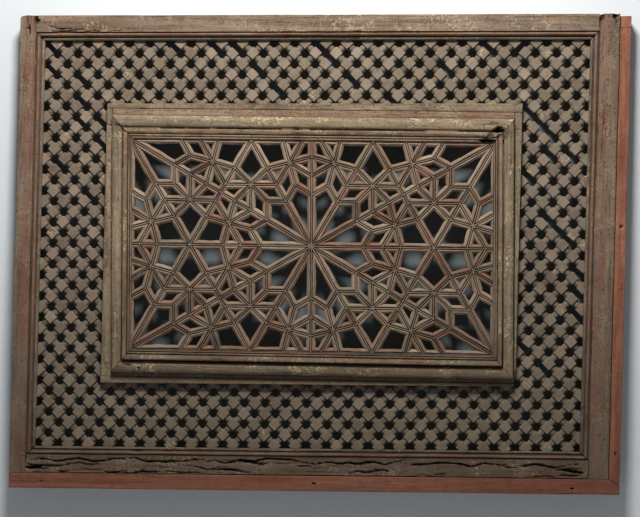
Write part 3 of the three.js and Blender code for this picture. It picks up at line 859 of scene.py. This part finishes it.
def lattice_bands(sizes):
    rng = random.Random(7)
    bands = {name: bmesh.new() for name in ("top", "bottom", "left", "right")}
    for bm in bands.values():
        layers(bm)
    block = build_block()
    block.faces.ensure_lookup_table()
    block.normal_update()
    link = build_link()
    link.normal_update()
    lost = lost_links()
    pitch = math.hypot(STEP_X, STEP_Z)
    side = sizes.block_side
    mid_y = LATTICE_FRONT + BLOCK_THICK / 2
    length = pitch - side + LINK_OVERLAP
    cols, rows = int(HALF_COLUMNS), int(HALF_ROWS)
    turn = math.atan2(STEP_Z, STEP_X)
    for i in range(-cols, cols + 1):
        for k in range(-rows, rows + 1):
            if (i + k) % 2:
                continue
            x = MID_X + i * STEP_X
            z = MID_Z + k * STEP_Z
            wob = [rng.uniform(-1, 1) for _ in range(8)]
            if not hidden(x, z):
                m = Matrix.Translation((x + wob[0] * BLOCK_SHIFT, mid_y + abs(wob[1]) * BLOCK_SINK,
                                        z + wob[2] * BLOCK_SHIFT))
                m = m @ Matrix.Rotation(-math.radians(45 + BLOCK_TURN * wob[3]), 4, "Y")
                m = m @ Matrix.Rotation(math.radians(BLOCK_TILT * wob[4]), 4, "X")
                m = m @ Matrix.Diagonal((side * (1 + BLOCK_UNEVEN * wob[5]), BLOCK_THICK,
                                         side * (1 + BLOCK_UNEVEN * wob[6]), 1))
                stamp(bands[band_of(x, z)], block, m, 0.5 + 0.32 * wob[7],
                      (rng.uniform(0, 9), rng.uniform(0, 9)),
                      rng.choice((0.1, 0.1, 0.5, 0.9)), 0.8 if rng.random() < 0.15 else 0.1,
                      rng.choice((0.0, 0.0, 0.0, 0.0, 0.3, 0.8)))
            for slope in (-1, 1):
                if (2 * i + 1, 2 * k + slope, slope) in lost:
                    continue
                lx = x + STEP_X / 2
                lz = z + slope * STEP_Z / 2
                wob = [rng.uniform(-1, 1) for _ in range(5)]
                if outside(lx, lz) or hidden(lx, lz, -2 * MM):
                    continue
                m = Matrix.Translation((lx, mid_y + LINK_SINK + wob[0] * LINK_SHIFT, lz))
                m = m @ Matrix.Rotation(-turn * slope, 4, "Y")
                m = m @ Matrix.Rotation(math.radians(22.5), 4, "X")
                r = sizes.link_radius * (1 + LINK_UNEVEN * wob[1])
                m = m @ Matrix.Diagonal((length, r, r, 1))
                stamp(bands[band_of(lx, lz)], link, m, 0.42 + 0.3 * wob[2],
                      (rng.uniform(0, 9), rng.uniform(0, 9)), 0.3, 0.1)
    block.free()
    link.free()
    return bands


# Strapwork

def star_faces():
    s = STAR
    r3 = math.sqrt(3)
    r_a = (r3 - 1) / 3 * s
    r_r = s / 3
    r_s = (1 - 1 / r3) * s
    r_p = (r3 - 1) / math.sqrt(6) * s
    r_q = s / math.sqrt(6)
    t_w = (2 / r3 - 1) * s

    def polar(r, deg):
        a = math.radians(deg)
        return Vector((r * math.cos(a), r * math.sin(a)))

    def along(p, q, dist):
        return p + (q - p).normalized() * dist

    row = s * r3 / 2
    out = []
    for c in ((0, 0), (row, s / 2), (row, -s / 2), (-row, s / 2), (-row, -s / 2)):
        centre = Vector(c)
        rings = []
        for k in range(12):
            a = 30 * k
            rings.append([Vector((0, 0)), polar(r_a, a), polar(r_p, a + 15), polar(r_a, a + 30)])
            for m in (-1, 1):
                q = polar(r_q, a + 15 * m)
                rings.append([polar(r_a, a), polar(r_r, a), q, polar(r_p, a + 15 * m)])
                rings.append([polar(r_r, a), polar(r_s, a), q])
                if k % 2 == 0:
                    t = polar(s / r3, a)
                    mid = polar(s / 2, a + 30 * m)
                    w = along(t, mid, t_w)
                    u = along(t, mid, r_a)
                    rings.append([t, polar(r_s, a), q, w])
                    rings.append([q, w, u])
                    rings.append([q, u, mid, polar(r_s, a + 30 * m)])
        for ring in rings:
            moved = [p + centre for p in ring]
            c2 = sum(moved, Vector((0, 0))) / len(moved)
            if abs(c2.x) > row or abs(c2.y) > s / 2:
                continue
            area = sum(p.x * q.y - q.x * p.y for p, q in zip(moved, moved[1:] + moved[:1]))
            out.append(moved if area > 0 else moved[::-1])
    return out


def half_angles(face):
    out = []
    n = len(face)
    for i in range(n):
        a = face[i - 1] - face[i]
        b = face[(i + 1) % n] - face[i]
        out.append(a.angle(b) / 2)
    return out


def strap_profile(half):
    """Half of a strap's section: (distance from its middle line, depth, hollow, paint); hollow is painted
    shade, most in the middle groove.
    """
    f = STRAP_FRONT
    return [
        (0.0, f + 0.3 * MM, 0.0, 0.3), (0.08 * half, f + 0.6 * MM, 0.1, 0.3),
        (0.13 * half, f + 3.4 * MM, 1.0, 0.0), (0.27 * half, f + 3.4 * MM, 1.0, 0.0),
        (0.32 * half, f + 0.7 * MM, 0.1, 0.4), (0.5 * half, f + 0.1 * MM, 0.0, 1.0),
        (0.62 * half, f + 0.5 * MM, 0.0, 1.0), (0.98 * half, f + 4.2 * MM, 0.0, 0.8),
        (0.985 * half, STRAP_BACK, 0.2, 0.3),
    ]


def corner_name(p):
    return (round(p.x * 1e5), round(p.y * 1e5))


def strap_lines():
    """Each strap once: its two ends, and the half angles of the faces left and right of it."""
    straps = {}
    for face in star_faces():
        angles = half_angles(face)
        n = len(face)
        for i in range(n):
            p, q = face[i], face[(i + 1) % n]
            ends = (angles[i], angles[(i + 1) % n])
            name = tuple(sorted((corner_name(p), corner_name(q))))
            if name not in straps:
                straps[name] = (p, q, [None, None])
            first = corner_name(straps[name][0]) == corner_name(p)
            straps[name][2][0 if first else 1] = ends if first else ends[::-1]
    return [straps[name] for name in sorted(straps)]


def strap_ring(rows, left, right):
    """The section of one strap; where no face adjoins, it is cut along its middle line."""
    points = []
    if left:
        points += [(d, y, h, c, left) for d, y, h, c in rows[::-1]]
    else:
        points.append((0.0, STRAP_BACK, 0, 0, right))
    if right:
        points += [(-d, y, h, c, right) for d, y, h, c in rows[(1 if left else 0):]]
    else:
        points.append((0.0, STRAP_BACK, 0, 0, left))
    return points


def strapwork(sizes):
    rng = random.Random(21)
    half = sizes.strap_width / 2
    bm = bmesh.new()
    layers(bm)
    rows = strap_profile(half)
    for p, q, (left, right) in strap_lines():
        length = (q - p).length
        direction = (q - p).normalized()
        points = strap_ring(rows, left, right)
        shift = (rng.uniform(0, 9), rng.uniform(0, 9))
        tone = 0.5 + rng.uniform(-0.42, 0.35)
        stained = 1.0 if rng.random() < 0.42 else 0.2
        olive = rng.choice((0.0, 0.25, 0.6))
        sink = rng.uniform(0, STRAP_SINK)
        tilt = rng.uniform(-STRAP_TILT, STRAP_TILT)
        steps = max(2, int(length / STRAP_STEP))
        part = bmesh.new()
        own = layers(part)
        side_of = part.verts.layers.int.new("row")
        ring = []
        for j, (d, y, h, c, _) in enumerate(points):
            v = part.verts.new((0, y, d))
            v[side_of] = j
            v[own["hollow"]] = h
            v[own["green"]] = olive
            v[own["paint"]] = c * stained
            v[own["cream"]] = 0.15
            v[own["tone"]] = tone
            ring.append(v)
        extrude(part, ring, steps)
        for v in part.verts:
            d, y, h, c, ends = points[v[side_of]]
            start = abs(d) / math.tan(ends[0]) + STRAP_JOINT
            stop = length - abs(d) / math.tan(ends[1]) - STRAP_JOINT
            if stop < start:
                start = stop = (start + stop) / 2
            t = v.co.x
            s = start + (stop - start) * t
            wob = noise.noise(Vector((s * 60 + shift[0], d * 300, shift[1])))
            deeper = sink + tilt * (t - 0.5) + max(0, wob) * STRAP_WEAR if y < STRAP_BACK - MM else 0
            if abs(d) > half * 0.3 and 0.02 < t < 0.98:
                d += math.copysign(STRAP_WAVE, d) * wob
            at = p + direction * s + Vector((-direction.y, direction.x)) * d
            v.co = Vector((at.x + CAS_X, y + deeper, at.y + CAS_Z))
            v[own["tone"]] = tone + 0.1 * wob
        for f in part.faces:
            for loop in f.loops:
                d = points[loop.vert[side_of]][0]
                s = (Vector((loop.vert.co.x - CAS_X, loop.vert.co.z - CAS_Z)) - p).dot(direction)
                loop[own["uv"]].uv = (s + shift[0], d + shift[1])
        bmesh.ops.recalc_face_normals(part, faces=part.faces[:])
        join_bm(bm, part)
    lo_x, hi_x = CAS_X - SIGHT_W / 2 + GAP, CAS_X + SIGHT_W / 2 - GAP
    lo_z, hi_z = CAS_Z - SIGHT_H / 2 + GAP, CAS_Z + SIGHT_H / 2 - GAP
    for v in bm.verts:
        v.co.x = min(hi_x, max(lo_x, v.co.x))
        v.co.z = min(hi_z, max(lo_z, v.co.z))
    return bm


# Laths and trims

def board(x0, x1, z0, z1, y0, y1, along, seed, marks, steps=60, shape=None):
    """A plain strip with eased arrises, worn on its faces."""
    e = 1.2 * MM
    across = (z1 - z0) if along == "x" else (x1 - x0)
    long = (x1 - x0) if along == "x" else (z1 - z0)
    section = [(0, y1), (0, y0 + e), (0.3 * e, y0 + 0.3 * e), (e, y0), (across - e, y0),
               (across - 0.3 * e, y0 + 0.3 * e), (across, y0 + e), (across, y1)]
    bm = bar(dense(section, STRIP_SPACING, y1 - 4 * MM), lambda d: long / 2, steps, marks, seed)
    if along == "x":
        put(bm, 0, ((x0 + x1) / 2, 0, z0))
    else:
        put(bm, 90, (x0, 0, (z0 + z1) / 2))
    if shape:
        shape(bm)
    wear(bm, along, 0.6, seed)
    return bm


# Sizes and colours that a user would change

def size_field(label, words, value, least):
    return FloatProperty(name=label, description=words, unit="LENGTH", default=value * MM,
                         min=least * MM)


class PanelSizes(bpy.types.PropertyGroup):
    block_side: size_field("Block side", "Side of a lattice block", 16.8, 5)
    link_radius: size_field("Link radius", "Radius of a turned link", 6.5, 1)
    strap_width: size_field("Strap width", "Width of a strap of the star pattern", 16.8, 2)
    wall_gap: size_field("Wall gap", "From the frame's back to the wall at the top", 2, 0)
    wall_lean: size_field("Wall lean", "How much further the wall stands off at the foot", 15, 0)


def colour_field(label, words, rgb):
    return FloatVectorProperty(name=label, description=words, subtype="COLOR", size=3, min=0, max=1,
                               default=linear(rgb))


class PanelColours(bpy.types.PropertyGroup):
    frame_light: colour_field("Frame, light", "Lighter streaks of the frame", (152, 136, 115))
    frame_dark: colour_field("Frame, dark", "Darker streaks of the frame", (100, 84, 68))
    casing_light: colour_field("Casing, light", "Lighter streaks of the casing", (164, 147, 120))
    casing_dark: colour_field("Casing, dark", "Darker streaks of the casing", (112, 96, 76))
    lattice_light: colour_field("Lattice, light", "Lighter faces of the lattice", (143, 128, 112))
    lattice_dark: colour_field("Lattice, dark", "Darker faces of the lattice", (126, 111, 96))
    strap_light: colour_field("Straps, light", "Lighter streaks of the straps", (174, 152, 131))
    strap_dark: colour_field("Straps, dark", "Darker streaks of the straps", (114, 94, 78))
    lath_light: colour_field("Laths, light", "Lighter streaks of the laths", (182, 124, 94))
    lath_dark: colour_field("Laths, dark", "Darker streaks of the laths", (118, 68, 50))
    red_paint: colour_field("Red paint", "Remains of red paint", (134, 88, 72))
    cream_paint: colour_field("Cream paint", "Remains of cream paint", (190, 173, 142))


def add_piece(bm, node, ending, slot, kind="frame", smooth_deg=35):
    """Places a finished mesh as the visible piece of one CAD node."""
    settle(bm, kind)
    bm.normal_update()
    name = f"{node}_{ending}"
    mesh = bpy.data.meshes.new(name)
    bm.to_mesh(mesh)
    bm.free()
    obj = bpy.data.objects.new(name, mesh)
    bpy.context.scene.collection.objects.link(obj)
    mesh.materials.append(MATERIALS[slot])
    mesh.shade_smooth()
    mesh.set_sharp_from_angle(angle=math.radians(smooth_deg))
    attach(obj, "root")
    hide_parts(node)


class PANEL_OT_materials(bpy.types.Operator):
    """Makes the materials of the panel"""
    bl_idname = "panel.materials"
    bl_label = "Materials"

    def execute(self, context):
        make_materials(context.scene.panel_colours)
        return {"FINISHED"}


class PANEL_OT_frame(bpy.types.Operator):
    """Builds the two stiles and two rails of the outer frame"""
    bl_idname = "panel.frame"
    bl_label = "Outer frame"

    def execute(self, context):
        rng = random.Random(5)
        rot = list(RAIL_ROT)
        for x, half in RAIL_SPLITS:
            rot.append((x, Z0 - 0.023 + 0.0015 * math.sin(x * 40), half, 0.0024, 0.006, 0.01, x * 50))
        for n in range(26):
            rot.append((rng.uniform(X0, X1), Z0 - rng.uniform(0.02, 0.046), rng.uniform(0.01, 0.05),
                        rng.uniform(0.0012, 0.0032), rng.uniform(0.0015, 0.005),
                        rng.uniform(-0.04, 0.04), n))
        cracks = [(x, z, half, 0.0013, deep * MM, 0.03, half * 900) for x, z, half, deep in RAIL_CRACKS]
        cracks.append((-0.5215, 0.852, 0.0035, 0.008, 0.012, 0, 2))
        pieces = {
            "stile_left": stile("left", STILE_LEFT, 1.3, LEFT_HEAD_SPLITS),
            "stile_right": stile("right", STILE_RIGHT, 5.1, RIGHT_HEAD_CHIPS, 0.22),
            "rail_top": rail("top", RAIL_TOP, 8.7, cracks),
            "rail_bottom": rail("bottom", RAIL_BOTTOM, 12.9, rot, 0.0),
        }
        for node, bm in pieces.items():
            add_piece(bm, node, "worn", "frame_wood")
        return {"FINISHED"}


class PANEL_OT_laths(bpy.types.Operator):
    """Builds the added laths under the frame and on its right edge"""
    bl_idname = "panel.laths"
    bl_label = "Laths"

    def execute(self, context):
        left, right = -OVERALL_W / 2, OVERALL_W / 2
        edge = left + STILE_LEFT + OPENING_W + STILE_RIGHT + GAP

        def mitre(bm):
            for v in bm.verts:
                if v.co.x > edge:
                    f = (v.co.x - edge) / (right - edge)
                    v.co.z = min(v.co.z, SILL_LATH - (SIDE_DROP + GAP) * f)

        def foot(bm):
            for v in bm.verts:
                base = SILL_LATH + GAP * 1.5 - (SIDE_DROP + GAP) * clamp((v.co.x - edge) / (right - edge))
                if v.co.z < base + 4 * MM:
                    v.co.z = max(v.co.z, base)

        def nailed(bm, places):
            hurt(bm, [(x, z, 0.0024, 0.0024, 0.006, 0, i) for i, (x, z) in enumerate(places)])
            return bm

        def red(d, y):
            return 0.5, 0.12, 0

        def plain(d, y):
            return 0.3, 0.3, 0

        head = TOP - HEAD_BLOCK
        pieces = {
            "lath_bottom": nailed(
                board(left, right, 0, SILL_LATH, FRONT, BACK, "x", 2.2, red, 260, mitre),
                [(-0.49, 0.013), (0.003, 0.014), (0.468, 0.011)]),
            "lath_right": nailed(
                board(edge, right, SILL_LATH - SIDE_DROP, head - GAP, FRONT + 4 * MM, BACK,
                      "z", 6.4, red, 200, foot),
                [(right - 0.008, 0.072), (right - 0.009, 0.48)]),
            "lath_right_head": board(edge, right, head, TOP - 4 * MM, FRONT + 5 * MM, BACK,
                                     "z", 9.1, plain, 10),
        }
        for node, bm in pieces.items():
            add_piece(bm, node, "worn", "lath_wood")
        return {"FINISHED"}


class PANEL_OT_casing(bpy.types.Operator):
    """Builds the raised moulded casing round the strapwork"""
    bl_idname = "panel.casing"
    bl_label = "Casing"

    def execute(self, context):
        members = (("top", 3.3, CASING_ROT), ("bottom", 6.1, CASING_FOOT_CRACKS),
                   ("left", 9.4, CASING_CORNER_WEAR), ("right", 13.2, CASING_ROT))
        for side, seed, spots in members:
            bm = casing_member(side, seed, spots)
            add_piece(bm, f"casing_{side}", "worn", "casing_wood", "casing")
        return {"FINISHED"}


class PANEL_OT_trims(bpy.types.Operator):
    """Builds the thin strips and short blocks round the casing"""
    bl_idname = "panel.trims"
    bl_label = "Trim strips"

    def execute(self, context):
        y1 = LATTICE_FRONT - GAP
        y0 = y1 - TRIM_THICK
        y_block = CASING_FRONT + RELIEF
        x0, x1 = CAS_LEFT - GAP, CAS_RIGHT + GAP
        z0, z1 = CAS_BOTTOM - GAP, CAS_TOP + GAP
        head = CAS_TOP - TRIM_HEAD
        foot = CAS_Z - SIGHT_H / 2 - FOOT_DROP
        grey = (0.15, 0.3, 0)
        warm = (0.3, 0.55, 0)
        pieces = (
            ("trim_top", (x0 - TRIM_LEFT, x1 + TRIM_RIGHT, z1, z1 + TRIM_TOP), y0, "x", 200, grey),
            ("trim_bottom", (x0 - TRIM_LEFT, x1, z0 - TRIM_BOTTOM, z0), y0, "x", 200, grey),
            ("trim_left", (x0 - TRIM_LEFT, x0, foot, head - GAP), y0, "z", 140, warm),
            ("trim_right", (x1, x1 + TRIM_RIGHT, foot, head - GAP), y0, "z", 140, grey),
            ("trim_left_head", (x0 - TRIM_LEFT, x0, head, CAS_TOP), y_block, "z", 14, grey),
            ("trim_right_head", (x1, x1 + TRIM_RIGHT, head, CAS_TOP), y_block, "z", 14, grey),
            ("trim_left_foot", (x0 - TRIM_LEFT, x0, z0 + GAP, foot - GAP), y0 + MM, "z", 8, grey),
        )
        for index, (name, box, front, along, steps, marks) in enumerate(pieces):
            bm = board(*box, front, y1, along, 1.7 * index + 4, lambda d, y, m=marks: m, steps)
            add_piece(bm, name, "worn", "casing_wood", "trim")
        return {"FINISHED"}


class PANEL_OT_lattice(bpy.types.Operator):
    """Builds the turned lattice in its four bands"""
    bl_idname = "panel.lattice"
    bl_label = "Lattice"

    def execute(self, context):
        for name, bm in lattice_bands(context.scene.panel_sizes).items():
            add_piece(bm, f"lattice_{name}", "turned", "lattice_wood", smooth_deg=40)
        return {"FINISHED"}


class PANEL_OT_strapwork(bpy.types.Operator):
    """Builds the star strapwork from mitred straps"""
    bl_idname = "panel.strapwork"
    bl_label = "Strapwork"

    def execute(self, context):
        bm = strapwork(context.scene.panel_sizes)
        add_piece(bm, "strapwork", "straps", "strap_wood", "casing", 28)
        return {"FINISHED"}


def stage_material(name, rgb, one_sided=False):
    mat = bpy.data.materials.new(name)
    mat.use_nodes = True
    tree = mat.node_tree
    shader = tree.nodes["Principled BSDF"]
    shader.inputs["Base Color"].default_value = (*linear(rgb), 1)
    shader.inputs["Roughness"].default_value = 0.9
    shader.inputs["Specular IOR Level"].default_value = 0.1
    if one_sided:
        clear = tree.nodes.new("ShaderNodeBsdfTransparent")
        choose = tree.nodes.new("ShaderNodeMixShader")
        geo = tree.nodes.new("ShaderNodeNewGeometry")
        path = tree.nodes.new("ShaderNodeLightPath")
        either = math_node(tree, "MAXIMUM", geo.outputs["Backfacing"], path.outputs["Is Shadow Ray"])
        tree.links.new(either, choose.inputs[0])
        tree.links.new(shader.outputs[0], choose.inputs[1])
        tree.links.new(clear.outputs[0], choose.inputs[2])
        tree.links.new(choose.outputs[0], tree.nodes["Material Output"].inputs["Surface"])
    return mat


def sheet(name, low, high, mat):
    """A stage plane between its two lower and its two upper corners."""
    bm = bmesh.new()
    bm.faces.new([bm.verts.new(c) for c in (*low, *high)])
    mesh = bpy.data.meshes.new(name)
    bm.to_mesh(mesh)
    bm.free()
    mesh.materials.append(mat)
    obj = bpy.data.objects.new(name, mesh)
    bpy.context.scene.collection.objects.link(obj)


def area_light(name, place, size, power, tint):
    data = bpy.data.lights.new(name, "AREA")
    data.shape = "RECTANGLE"
    data.size, data.size_y = size
    data.energy = power
    data.color = tint
    obj = bpy.data.objects.new(name, data)
    obj.location = place
    obj.rotation_euler = (Vector(LIGHT_AIM) - Vector(place)).to_track_quat("-Z", "Y").to_euler()
    bpy.context.scene.collection.objects.link(obj)


class PANEL_OT_stage(bpy.types.Operator):
    """Sets up the wall, a dark sheet of painted shade behind the holes, floor, lights and camera"""
    bl_idname = "panel.stage"
    bl_label = "Stage"

    def execute(self, context):
        sizes = context.scene.panel_sizes
        near = BACK + sizes.wall_gap
        far = near + sizes.wall_lean
        slope = (near - far) / TOP
        low, high = FLOOR_LEVEL, WALL_TOP
        wall = stage_material("pale_wall", (226, 232, 238), one_sided=True)
        sheet("wall", [(-WALL_HALF, far + slope * low, low), (WALL_HALF, far + slope * low, low)],
              [(WALL_HALF, far + slope * high, high), (-WALL_HALF, far + slope * high, high)], wall)
        # painted shade: a dark sheet just behind the frame makes what shows through the holes dark
        shade_card = stage_material("dark_card", (104, 114, 118), one_sided=True)
        y = BACK + SHADE_CARD_GAP
        foot, top = RACK * Z0, RACK * Z1
        left, right = X0 - SHADE_CARD_EDGE, X1 + SHADE_CARD_EDGE
        sheet("backing_card", [(left + foot, y, Z0 - SHADE_CARD_EDGE), (right + foot, y, Z0 - SHADE_CARD_EDGE)],
              [(right + top, y, Z1 + SHADE_CARD_EDGE), (left + top, y, Z1 + SHADE_CARD_EDGE)], shade_card)
        floor = stage_material("pale_floor", (214, 218, 222))
        reach = FLOOR_HALF
        sheet("floor", [(-reach, -reach, low), (reach, -reach, low)],
              [(reach, reach, low), (-reach, reach, low)], floor)
        world = bpy.data.worlds.new("soft_room")
        world.use_nodes = True
        background = world.node_tree.nodes["Background"]
        background.inputs["Color"].default_value = ROOM_TINT
        background.inputs["Strength"].default_value = ROOM_LIGHT
        context.scene.world = world
        area_light("key_light", (0.0, -1.15, 1.75), (0.45, 0.3), 36, (1.0, 0.97, 0.93))
        area_light("rear_light", (-0.6, 2.6, 1.8), (2.0, 1.4), 18, (1.0, 0.98, 0.95))
        cam = bpy.data.cameras.new("camera")
        cam.sensor_fit = "HORIZONTAL"
        cam.sensor_width = SENSOR
        cam.lens = SENSOR * LENS_PER_WIDTH
        obj = bpy.data.objects.new("camera", cam)
        matrix = Matrix.Translation(CAMERA_PLACE)
        for angle, axis in CAMERA_TURNS:
            matrix = matrix @ Matrix.Rotation(angle, 4, axis)
        obj.matrix_world = matrix @ Matrix.Rotation(math.radians(90), 4, "X")
        context.scene.collection.objects.link(obj)
        context.scene.camera = obj
        context.scene.view_settings.view_transform = "Standard"
        return {"FINISHED"}


class PANEL_PT_sidebar(bpy.types.Panel):
    bl_label = "Carved panel"
    bl_idname = "PANEL_PT_sidebar"
    bl_space_type = "VIEW_3D"
    bl_region_type = "UI"
    bl_category = "Panel"

    def draw(self, context):
        for group in (context.scene.panel_sizes, context.scene.panel_colours):
            for name in group.__annotations__:
                self.layout.prop(group, name)
        for cls in OPERATORS:
            self.layout.operator(cls.bl_idname)


OPERATORS = (
    PANEL_OT_materials,
    PANEL_OT_frame,
    PANEL_OT_laths,
    PANEL_OT_casing,
    PANEL_OT_trims,
    PANEL_OT_lattice,
    PANEL_OT_strapwork,
    PANEL_OT_stage,
)
CLASSES = (PanelSizes, PanelColours) + OPERATORS + (PANEL_PT_sidebar,)


def register():
    for cls in CLASSES:
        bpy.utils.register_class(cls)
    bpy.types.Scene.panel_sizes = PointerProperty(type=PanelSizes)
    bpy.types.Scene.panel_colours = PointerProperty(type=PanelColours)


def unregister():
    del bpy.types.Scene.panel_colours
    del bpy.types.Scene.panel_sizes
    for cls in reversed(CLASSES):
        bpy.utils.unregister_class(cls)


def main():
    register()
    bpy.ops.panel.materials()
    bpy.ops.panel.frame()
    bpy.ops.panel.laths()
    bpy.ops.panel.casing()
    bpy.ops.panel.trims()
    bpy.ops.panel.lattice()
    bpy.ops.panel.strapwork()
    bpy.ops.panel.stage()


if __name__ == "__main__":
    main()
